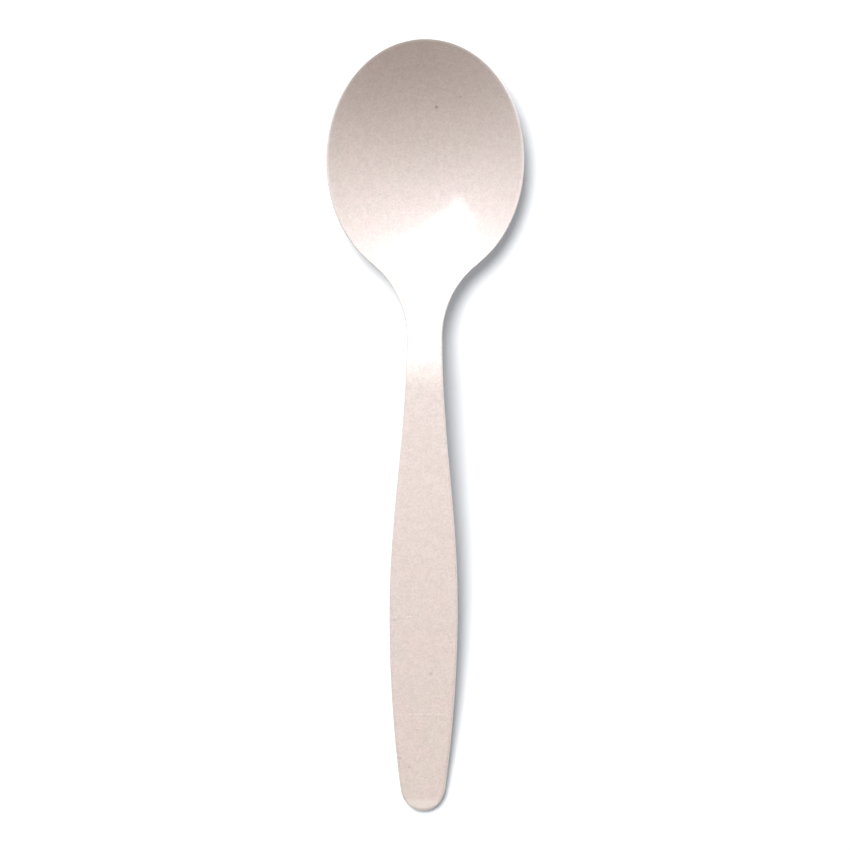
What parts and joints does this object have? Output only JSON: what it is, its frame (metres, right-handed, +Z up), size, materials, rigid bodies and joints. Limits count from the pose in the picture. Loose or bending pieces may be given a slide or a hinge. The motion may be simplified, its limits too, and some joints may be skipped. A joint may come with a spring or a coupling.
{
  "type": "soup spoon",
  "caption": "Light moulded plastic soup spoon with a round deep bowl that leans back, a narrow neck that sweeps up, and a leaf-shaped handle hollowed underneath.",
  "frame": {"origin": "on the table, under the middle of the spoon's length and width", "axes": "+Y along the spoon towards the bowl's tip, +Z up out of the bowl, +X across it; the spoon lies bowl up"},
  "size_m": [0.0374, 0.146, 0.0143],
  "materials": {
    "moulded_plastic": "pale champagne plastic, moulded smooth, with a soft satin gloss and a fine grain"
  },
  "bodies": {
    "root": {"bowl": "moulded_plastic", "neck": "moulded_plastic", "handle_plate": "moulded_plastic", "side_walls": "moulded_plastic", "spine_rib": "moulded_plastic", "handle_end": "moulded_plastic"}
  },
  "joints": []
}
